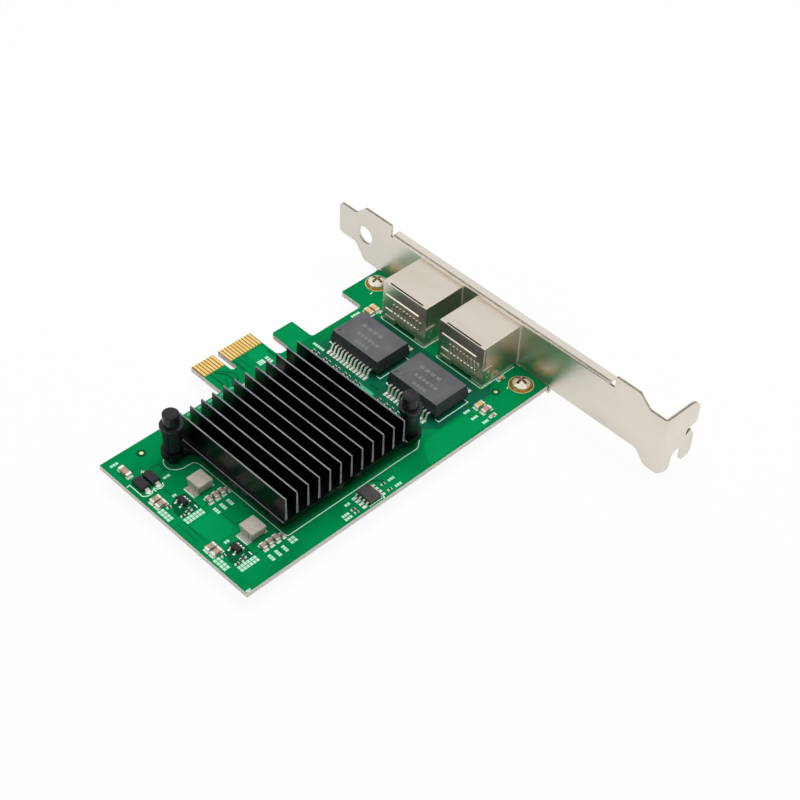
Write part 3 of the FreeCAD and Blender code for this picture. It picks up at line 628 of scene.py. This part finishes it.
# Lines round the ports: start and end in x, half of the width, cut corners
PORT_LINE_X = (1.4, 14.3)
PORT_LINE_HALF = 8.5
PORT_LINE_CUT = 0.4

# Lines at both ends of the transformers, from their middles
TRANSFORMER_LINE_X = (-5.3, 5.6)
TRANSFORMER_LINE_INNER = 8.4
TRANSFORMER_LINE_OUTER = 9.8

# Lines over and beside the two diodes
DIODE_LINES = (
    ((97.5, 27.3), (98.0, 28.3), (99.0, 28.6), (99.9, 28.2), (100.3, 27.3)),
    ((101.0, 27.7), (101.6, 28.5), (103.0, 28.5), (104.1, 27.8), (104.1, 22.4)),
)

# Rows of bars: start, end, how many
DASH_WIDTH = 0.8
DASH_ROWS = (
    ((103.9, 14.5), (101.4, 14.5), 3), ((96.6, 26.4), (94.3, 26.4), 2),
    ((98.7, 32.7), (97.5, 32.7), 2), ((99.1, 53.0), (97.6, 53.0), 2),
    ((69.5, 63.8), (67.8, 63.8), 2), ((55.7, 64.8), (53.5, 64.8), 3),
    ((55.7, 67.4), (53.5, 67.4), 3), ((24.4, 60.85), (22.2, 60.85), 3),
    ((24.5, 63.75), (22.2, 63.75), 3), ((23.3, 66.7), (21.2, 66.7), 3),
    ((72.7, 67.3), (70.2, 67.3), 3), ((72.6, 66.1), (70.2, 66.1), 3),
    ((20.2, 13.45), (17.0, 13.45), 4), ((105.2, 68.1), (103.8, 68.1), 3),
)

# Columns of three bars by the capacitors of each regulator: x, then how far the
# column is shifted from it, its start and its end in y
COLUMN_WIDTH = 0.95
COLUMN_COUNT = 3
COLUMN_X = (93.7, 91.6, 89.4)
COLUMN_Y = ((0, 42.5, 44.9), (0.1, 63.0, 65.3))

# Blocks of small boxes: x0, x1, y0, y1, how many across and up
CELL_BLOCKS = (
    (103.0, 104.9, 34.2, 38.8, 2, 4), (96.1, 101.9, 40.4, 42.5, 6, 2),
    (103.0, 105.0, 55.4, 60.0, 2, 4), (96.3, 102.1, 60.8, 63.0, 6, 2),
    (85.3, 87.5, 62.3, 64.4, 2, 2), (34.6, 35.6, 14.3, 18.6, 1, 5),
    (47.7, 49.0, 9.8, 12.6, 1, 3), (49.5, 51.7, 9.8, 11.9, 3, 1),
)

# Short strokes: start and end. The first two are a cross.
TOUCHES = (
    ((98.9, 20.6), (98.9, 21.6)), ((98.4, 21.1), (99.4, 21.1)),
    ((104.4, 22.7), (105.1, 22.7)), ((100.6, 27.4), (100.6, 28.6)),
    ((8.6, 9.7), (9.7, 10.0)), ((8.5, 61.6), (9.1, 62.1)),
    ((19.1, 67.1), (20.0, 66.2)), ((96.5, 38.4), (96.5, 39.7)),
    ((96.6, 59.0), (96.6, 60.3)), ((56.3, 11.0), (56.3, 12.2)),
    ((12.0, 17.2), (13.4, 17.6)),
)

# First-pin dot beside the memory chip: x, y, radius, steps. Row of fine dashes by it.
CHIP_DOT = (60.3, 68.1, 0.26, 16)
CHIP_DASHES = ((60.8, 68.0), (65.2, 68.0), 6)
CHIP_DASH_FILL = 0.72

# Strokes below the ends of the resistors: how far past the end in x, and the y
# from its lower side. The row beside the heatsink, inside BARE_ROW_X, has none.
END_STROKE_PAST = 0.06
END_STROKE_Y = (-0.16, -0.04)
BARE_ROW_X = (35.5, 38.5)


def eased(points):
    """Closed path with every corner cut twice."""
    path = [Vector(p) for p in points]
    for _ in range(CORNER_CUTS):
        cut = []
        for i, spot in enumerate(path):
            for other in (path[i - 1], path[(i + 1) % len(path)]):
                away = other - spot
                cut.append(spot + away.normalized() * min(CORNER_REACH, away.length / 4))
        path = cut
    return path


def sink_outline():
    """Path of the ink line round the heatsink and its two ears."""
    whole = SINK_HALF_LINE + tuple((-x, -y) for x, y in SINK_HALF_LINE)
    return [(SINK_MIDDLE.x + x, SINK_MIDDLE.y + y) for x, y in whole]


def ink_outlines(bm):
    """Ink lines round ports, transformers, heatsink and diodes."""
    ribbon(bm, eased(sink_outline()), OUTLINE_WIDTH, 0, INK_Z, closed=True)
    start, end = PORT_LINE_X
    cut = PORT_LINE_CUT
    for box in SHIELD_BOXES:
        low = middle(box).y - PORT_LINE_HALF
        high = middle(box).y + PORT_LINE_HALF
        path = ((start, low), (end - cut, low), (end, low + cut),
                (end, high - cut), (end - cut, high), (start, high))
        ribbon(bm, path, OUTLINE_WIDTH, 0, INK_Z)
    for box in TRANSFORMER_BOXES:
        mid = middle(box)
        near, far = (mid.x + x for x in TRANSFORMER_LINE_X)
        for side in (-1, 1):
            inner = mid.y + side * TRANSFORMER_LINE_INNER
            outer = mid.y + side * TRANSFORMER_LINE_OUTER
            path = ((near, inner), (near, outer), (far, outer), (far, inner))
            ribbon(bm, path, OUTLINE_WIDTH, 0, INK_Z)
    for path in DIODE_LINES:
        ribbon(bm, path, DIODE_LINE_WIDTH, 0, INK_Z)


def ink_marks(bm):
    """Blocks standing for reference marks."""
    for start, end, count in DASH_ROWS:
        dashes(bm, start, end, count, DASH_WIDTH)
    for x in COLUMN_X:
        for shift, low, high in COLUMN_Y:
            dashes(bm, (x + shift, low), (x + shift, high), COLUMN_COUNT, COLUMN_WIDTH)
    for block in CELL_BLOCKS:
        cells(bm, *block)


def ink_touches(bm):
    """Short strokes, a cross, a dot and fine dashes beside the small parts."""
    for start, end in TOUCHES:
        stroke(bm, start, end, TOUCH_WIDTH, 0, INK_Z)
    prism(bm, circle_points(*CHIP_DOT), 0, INK_Z)
    dashes(bm, *CHIP_DASHES, TOUCH_WIDTH, fill=CHIP_DASH_FILL)
    for lo, hi in solids_of("resistor_ends"):
        if lo.x > BARE_ROW_X[0] and hi.x < BARE_ROW_X[1]:
            continue
        y0, y1 = (lo.y + y for y in END_STROKE_Y)
        rect(bm, lo.x - END_STROKE_PAST, hi.x + END_STROKE_PAST, y0, y1, 0, INK_Z)


def board_ink():
    """All of the ink printed on the component side."""
    lines = bmesh.new()
    ink_outlines(lines)
    ink_touches(lines)
    finish_piece("board_ink_lines", lines, FINE_INK)
    marks = bmesh.new()
    ink_marks(marks)
    finish_piece("board_ink", marks, INK)


# ---------------------------------------------------------------- copper

# Outlines of the copper areas and of two bare-looking edges of copper
COPPER_AREAS = (
    ((93.6, 42.9), (101.6, 42.9), (101.6, 48.6), (99.6, 51.6), (95.6, 51.6), (93.6, 49.6)),
    ((20.6, 67.9), (44.0, 67.9), (40.2, 61.9), (37.6, 60.9), (25.6, 61.4)),
    ((46.0, 5.6), (50.6, 5.6), (51.6, 6.8), (51.6, 9.6), (47.2, 9.6), (46.6, 8.2)),
    ((33.9, 4.2), (40.6, 4.2), (40.6, 12.0), (33.9, 12.0)),
)

COPPER_EDGES = (
    ((36.6, 35.0), (37.7, 35.0), (37.7, 40.2), (36.6, 39.4)),
    ((66.9, 12.7), (67.5, 12.7), (67.5, 13.8), (66.9, 13.8)),
)

# Row of short copper edges beside the board's lower edge
EDGE_ROW_COUNT = 7
EDGE_ROW_X = 63.6
EDGE_ROW_STEP = 3.59
EDGE_ROW_LENGTH = 1.4
EDGE_ROW_Y = (12.5, 13.3)

# Outline of the area with no copper round the transformers
ISOLATION_ZONE = (
    (15.0, 15.6), (33.2, 15.6), (34.5, 16.8), (38.4, 16.8), (38.4, 35.0), (36.4, 35.3),
    (36.4, 40.3), (38.4, 40.8), (38.4, 51.0), (36.4, 52.4), (36.4, 57.6), (33.2, 60.5),
    (14.2, 60.5), (11.4, 58.1), (14.6, 57.6), (14.6, 16.4),
)

# No copper by the regulators: one outline, moved to each of them
REGULATOR_ZONE = (
    (95.6, 33.8), (98.4, 33.4), (100.6, 34.6), (101.8, 37.2), (101.8, 40.1), (95.9, 40.1),
    (95.6, 38.0),
)
REGULATOR_SHIFTS = ((0, 0), (0.25, 20.6))

# Gaps in the copper: path and width
GAPS = (
    (((60.6, 12.8), (58.8, 10.7), (58.8, 8.5), (61.4, 5.4)), 0.42),
    (((62.2, 12.8), (60.3, 10.8), (60.3, 8.3), (62.4, 5.4)), 0.7),
    (((63.6, 12.4), (62.2, 10.6), (62.0, 9.0)), 0.3),
    (((63.7, 10.6), (63.7, 5.2)), 0.45),
    (((55.7, 10.2), (55.7, 5.2)), 0.5),
    (((53.9, 9.8), (53.9, 5.2)), 0.22),
    (((51.5, 6.7), (52.6, 5.4)), 0.25),
    (((46.1, 12.6), (46.1, 8.0)), 0.4),
    (((34.9, 36.2), (34.9, 39.4)), 0.9),
    (((102.0, 49.2), (102.0, 41.0)), 0.3),
    (((103.6, 48.0), (103.6, 40.6)), 0.2),
    (((98.6, 33.0), (98.6, 29.4)), 0.3),
    (((94.3, 24.4), (94.3, 21.5), (98.2, 21.5)), 0.22),
    (((94.4, 24.5), (96.4, 24.5)), 0.22),
    (((94.0, 60.3), (95.4, 60.8), (96.0, 60.6)), 0.22),
    (((94.0, 40.3), (95.4, 40.6), (96.0, 40.5)), 0.22),
    (((93.4, 41.6), (93.4, 49.8), (89.0, 51.4)), 0.2),
    (((56.4, 64.4), (57.6, 62.8), (58.8, 62.0)), 0.5),
)

# Gap round one small island of copper at the rear corner
ISLAND_GAP = ((98.4, 19.2), (100.6, 19.2), (100.6, 20.9), (98.4, 20.9))
ISLAND_GAP_WIDTH = 0.16

# Clearance round the alignment dots, the plated pads that are under DOT_SIZE
DOT_SIZE = 3
DOT_GAP_RADIUS = 0.97
DOT_GAP_WIDTH = 0.7


def board_copper():
    """Copper that shows lighter through the mask, and its pale edges."""
    areas = bmesh.new()
    for outline in COPPER_AREAS:
        prism(areas, outline, 0, COPPER_Z)
    finish_piece("copper_areas", areas, LIGHT_MASK)
    edges = bmesh.new()
    for outline in COPPER_EDGES:
        prism(edges, outline, 0, COPPER_Z)
    for i in range(EDGE_ROW_COUNT):
        x = EDGE_ROW_X + i * EDGE_ROW_STEP
        rect(edges, x - EDGE_ROW_LENGTH, x, *EDGE_ROW_Y, 0, COPPER_Z)
    finish_piece("copper_edges", edges, PALE_MASK)


def isolation_zones():
    """Area with no copper round the transformers."""
    bm = bmesh.new()
    prism(bm, ISOLATION_ZONE, 0, ZONE_Z)
    finish_piece("isolation_zones", bm, BARE_LAMINATE)


def copper_gaps():
    """Dark gaps in the copper: by the regulators, along lines and round pads."""
    bm = bmesh.new()
    for shift_x, shift_y in REGULATOR_SHIFTS:
        prism(bm, [(x + shift_x, y + shift_y) for x, y in REGULATOR_ZONE], 0, ZONE_Z)
    for path, width in GAPS:
        ribbon(bm, path, width, 0, LINE_Z)
    ribbon(bm, ISLAND_GAP, ISLAND_GAP_WIDTH, 0, LINE_Z, closed=True)
    for lo, hi in solids_of("plated_pads"):
        if hi.x - lo.x < DOT_SIZE:
            spot = (lo + hi) / 2
            hoop(bm, spot.x, spot.y, DOT_GAP_RADIUS, DOT_GAP_WIDTH, 0, LINE_Z)
    finish_piece("copper_gaps", bm, GAP_MASK)


# ---------------------------------------------------------------- solder lands

# Two-ended parts: ends, bodies, how far a land reaches out and past the sides
END_LANDS = (
    ("capacitor_ends", "capacitor_bodies", 0.32, 0.1),
    ("line_capacitor_ends", "line_capacitor_bodies", 0.32, 0.1),
    ("resistor_ends", "resistor_bodies", 0.15, 0.06),
    ("inductor_terminals", "inductor_cores", 0.25, 0.1),
)
END_LAND_TAPER = 0.1

# Parts with bent leads: leads, bodies, how long the foot is, how far a land
# reaches beyond it and past its sides
LEAD_LANDS = (
    ("transformer_a_leads", "transformer_a", 1.5, 0.3, 0.17),
    ("transformer_b_leads", "transformer_b", 1.5, 0.3, 0.17),
    ("memory_chip_leads", "memory_chip", 1.0, 0.6, 0.2),
    ("regulator_leads", "regulator_bodies", 0.5, 0.35, 0.08),
)
LEAD_LAND_TAPER = 0.06

# Round lands of the diodes: shift in y and radius, past the upper and lower lead
DIODE_LAND_UPPER = (0.3, 0.8)
DIODE_LAND_LOWER = (0.1, 0.6)
DIODE_LAND_STEPS = 20


def nearest(point, boxes):
    """Middle of the box that is nearest to a point."""
    return min((middle(box) for box in boxes), key=lambda mid: (mid.xy - point.xy).length)


def end_land(bm, lo, hi, body, z0, z1, reach, side):
    """Land under one metal end, reaching outward from the part's body."""
    away = (lo + hi) / 2 - body
    x0, x1, y0, y1 = lo.x - side, hi.x + side, lo.y - side, hi.y + side
    if abs(away.x) > abs(away.y):
        x0, x1 = (x0, x1 + reach) if away.x > 0 else (x0 - reach, x1)
    else:
        y0, y1 = (y0, y1 + reach) if away.y > 0 else (y0 - reach, y1)
    rect(bm, x0, x1, y0, y1, z0, z1, END_LAND_TAPER)


def lead_land(bm, lo, hi, body, foot, beyond, side):
    """Land under the foot of one bent lead."""
    if (lo.x + hi.x) / 2 > body.x:
        x0, x1 = hi.x - foot, hi.x + beyond
    else:
        x0, x1 = lo.x - beyond, lo.x + foot
    rect(bm, x0, x1, lo.y - side, hi.y + side, 0, LAND_Z, LEAD_LAND_TAPER)


def solder_lands():
    """Tinned lands under every surface part, on both sides of the board."""
    bm = bmesh.new()
    under = card_mm(BOARD_LO).z
    for ends, bodies, reach, side in END_LANDS:
        body_boxes = solids_of(bodies)
        for lo, hi in solids_of(ends):
            z0, z1 = (0, LAND_Z) if hi.z > 0 else (under, under - LAND_Z)
            end_land(bm, lo, hi, nearest((lo + hi) / 2, body_boxes), z0, z1, reach, side)
    for leads, bodies, foot, beyond, side in LEAD_LANDS:
        body_boxes = solids_of(bodies)
        for lo, hi in solids_of(leads):
            lead_land(bm, lo, hi, nearest((lo + hi) / 2, body_boxes), foot, beyond, side)
    body_boxes = solids_of("diode_bodies")
    for lo, hi in solids_of("diode_leads"):
        mid = (lo + hi) / 2
        upper = mid.y > nearest(mid, body_boxes).y
        shift, radius = DIODE_LAND_UPPER if upper else DIODE_LAND_LOWER
        outline = circle_points(mid.x, mid.y + shift, radius, DIODE_LAND_STEPS)
        prism(bm, outline, 0, LAND_Z, END_LAND_TAPER)
    finish_piece("solder_lands", bm, LAND_TIN)


# ---------------------------------------------------------------- trims

# Folded lips on the side walls of a port shield: x0, x1, z0, z1. The walls are
# SHIELD_HALF from its middle, and the lips stand out by LIP_DEPTH.
SHIELD_HALF = 8.15
LIP_DEPTH = 0.3
SHIELD_LIPS = ((0.02, 0.3, 0.6, 13.1), (10.5, 13.8, 6.0, 6.18))

# Dark sheet of painted shade over the slot along the rear top edge of a port shield, y from its
# middle, z from its top
SLOT_X = (13.22, 13.68)
SLOT_Y = (-5.8, 6.5)
SLOT_Z = (-0.1, 0.015)

# Bars on a transformer, from its middle: x, start y, end y, how many
PRINT_ROWS = ((-1.9, -4.8, 3.2, 4), (1.3, -3.6, 4.8, 6), (4.0, -1.6, 3.4, 4))
PRINT_WIDTH = 1.1
PRINT_FILL = 0.72

# First-pin ring on a transformer, from its middle
PIN_RING_X = 4.1
PIN_RING_Y = -6.6
PIN_RING_RADIUS = 0.45
PIN_RING_WIDTH = 0.16

# Bright rim of a screw ring, and cap of an alignment dot
RIM_WIDTH = 0.2
CAP_TAPER = 0.05

# Points round a small circle
ROUND_STEPS = 24


def pad_trims():
    """Bright outer lines of the screw rings and caps of the alignment dots."""
    bm = bmesh.new()
    for lo, hi in solids_of("plated_pads"):
        spot = (lo + hi) / 2
        half = (hi.x - lo.x) / 2
        top = hi.z + TRIM_Z
        if 2 * half > DOT_SIZE:
            hoop(bm, spot.x, spot.y, half, RIM_WIDTH, 0, top)
        else:
            prism(bm, circle_points(spot.x, spot.y, half, ROUND_STEPS), hi.z, top, CAP_TAPER)
    finish_piece("pad_trims", bm, BRIGHT_GOLD)


def shield_lips():
    """Folded lips of the port shields, at the bracket and over the side flaps, paler than the
    shield as a painted highlight.
    """
    bm = bmesh.new()
    for box in SHIELD_BOXES:
        for side in (-1, 1):
            wall = middle(box).y + side * SHIELD_HALF
            low, high = sorted((wall, wall + side * LIP_DEPTH))
            for x0, x1, z0, z1 in SHIELD_LIPS:
                rect(bm, x0, x1, low, high, z0, z1)
    finish_piece("shield_lips", bm, HIGHLIT_NICKEL)


def shield_slot_shade():
    """Painted shade: a dark sheet over the slot along the rear top edge of each port shield."""
    bm = bmesh.new()
    for box in SHIELD_BOXES:
        y0, y1 = (middle(box).y + y for y in SLOT_Y)
        z0, z1 = (box[1].z + z for z in SLOT_Z)
        rect(bm, *SLOT_X, y0, y1, z0, z1)
    finish_piece("shield_slot_shade", bm, DEEP_SHADE)


def transformer_print():
    """Faint bars and a first-pin ring on the transformers, in place of lettering."""
    bm = bmesh.new()
    for box in TRANSFORMER_BOXES:
        mid = middle(box)
        low = box[1].z
        high = low + PART_INK_Z
        for x, start, end, count in PRINT_ROWS:
            dashes(bm, (mid.x + x, mid.y + start), (mid.x + x, mid.y + end), count,
                   PRINT_WIDTH, low, high, PRINT_FILL)
        hoop(bm, mid.x + PIN_RING_X, mid.y + PIN_RING_Y, PIN_RING_RADIUS, PIN_RING_WIDTH,
             low, high, ROUND_STEPS)
    finish_piece("transformer_print", bm, FAINT_PRINT)


# ---------------------------------------------------------------- stage

FLOOR_HALF = 6.0
FLOOR_GLOW = 0.93
WORLD_STRENGTH = 0.35

# Lamps: place from the card's middle, size, watts, and whether the lamp
# shows only in gloss, for thin bright edges
LAMPS = {
    "key": ((-0.24, -0.12, 0.9), 0.8, 7.0, False),
    "fill": ((0.7, 0.2, 0.8), 0.8, 1.0, False),
    "edge_rear": ((0.7, -0.5, 0.52), 0.45, 0.6, True),
    "edge_top": ((-0.5, 0.7, 0.52), 0.45, 0.6, True),
}

# Camera: turn in degrees, lens in mm, place in card millimetres
CAMERA_AZIMUTH = 133.8395
CAMERA_ELEVATION = 44.0776
CAMERA_ROLL = 2.7285
CAMERA_LENS = 79.098
CAMERA_SENSOR = 36
CAMERA_PLACE = (272.2245, 275.5406, 320.9475)


def looking(tree):
    """1 for rays that only look: from the camera, in gloss or through glass."""
    path = add(tree, "LightPath")
    seen = either(tree, path.outputs["Is Camera Ray"], path.outputs["Is Glossy Ray"])
    return either(tree, seen, path.outputs["Is Transmission Ray"])


def floor_material():
    """Matt floor with a white glow to the camera, which keeps the card's shadow."""
    material = bpy.data.materials.new("floor_white")
    material.use_nodes = True
    tree = material.node_tree
    tree.nodes.clear()
    matt = add(tree, "BsdfDiffuse", {"Color": tint(tree, (244, 244, 244), (250, 250, 250), 3)})
    glow = add(tree, "Emission", {"Color": WHITE, "Strength": 1.0})
    share = both(tree, looking(tree), FLOOR_GLOW)
    mix = add(tree, "MixShader", {0: share, 1: matt.outputs[0], 2: glow.outputs[0]})
    add(tree, "OutputMaterial", {"Surface": mix.outputs[0]})
    return material


def flat_floor():
    """Pale floor that the card lies on."""
    low = CAD_BOX[0].z
    signs = ((-1, -1), (1, -1), (1, 1), (-1, 1))
    bm = bmesh.new()
    bm.faces.new([bm.verts.new((x * FLOOR_HALF, y * FLOOR_HALF, low)) for x, y in signs])
    floor = new_object("floor", bm, floor_material())


def white_world():
    """World that is white to the camera and in gloss, and softer as light."""
    world = bpy.data.worlds.new("studio")
    bpy.context.scene.world = world
    world.use_nodes = True
    tree = world.node_tree
    tree.nodes.clear()
    soft = add(tree, "Background", {"Color": WHITE, "Strength": WORLD_STRENGTH})
    bright = add(tree, "Background", {"Color": WHITE, "Strength": 1.0})
    mix = add(tree, "MixShader", {0: looking(tree), 1: soft.outputs[0], 2: bright.outputs[0]})
    add(tree, "OutputWorld", {"Surface": mix.outputs[0]})


def lamp(name, shift, size, watts, gloss):
    """Square soft light aimed at the card; a gloss lamp shows only in reflections."""
    data = bpy.data.lights.new(name, "AREA")
    data.size = size
    data.energy = watts
    light = bpy.data.objects.new(name, data)
    light.visible_glossy = gloss
    light.visible_diffuse = not gloss
    target = middle(CAD_BOX)
    place = target + Vector(shift)
    turn = (place - target).to_track_quat("Z", "Y").to_matrix().to_4x4()
    light.matrix_world = Matrix.Translation(place) @ turn
    bpy.context.scene.collection.objects.link(light)


def camera():
    """Camera at the viewing angle, placed in card millimetres."""
    azimuth, elevation, roll = (
        math.radians(angle) for angle in (CAMERA_AZIMUTH, CAMERA_ELEVATION, CAMERA_ROLL))
    back = Vector((math.sin(azimuth) * math.cos(elevation),
                   -math.cos(azimuth) * math.cos(elevation),
                   math.sin(elevation)))
    level = Vector((0, 0, 1)).cross(back).normalized()
    upright = back.cross(level)
    right = math.cos(roll) * level + math.sin(roll) * upright
    up = -math.sin(roll) * level + math.cos(roll) * upright
    data = bpy.data.cameras.new("camera")
    data.lens = CAMERA_LENS
    data.sensor_width = CAMERA_SENSOR
    eye = bpy.data.objects.new("camera", data)
    turn = Matrix((right, up, back)).transposed().to_4x4()
    eye.matrix_world = Matrix.Translation(at(*CAMERA_PLACE)) @ turn
    bpy.context.scene.collection.objects.link(eye)
    bpy.context.scene.camera = eye


# ---------------------------------------------------------------- assembly

dress_nodes()
for edge_width, node_names in EDGE_WIDTHS:
    for node_name in node_names:
        soften(node_name, edge_width)

board_ink()
board_copper()
isolation_zones()
copper_gaps()
solder_lands()
pad_trims()
shield_lips()
shield_slot_shade()
transformer_print()

flat_floor()
white_world()
for lamp_name, lamp_setting in LAMPS.items():
    lamp(lamp_name, *lamp_setting)
camera()
bpy.context.scene.view_settings.view_transform = "Standard"
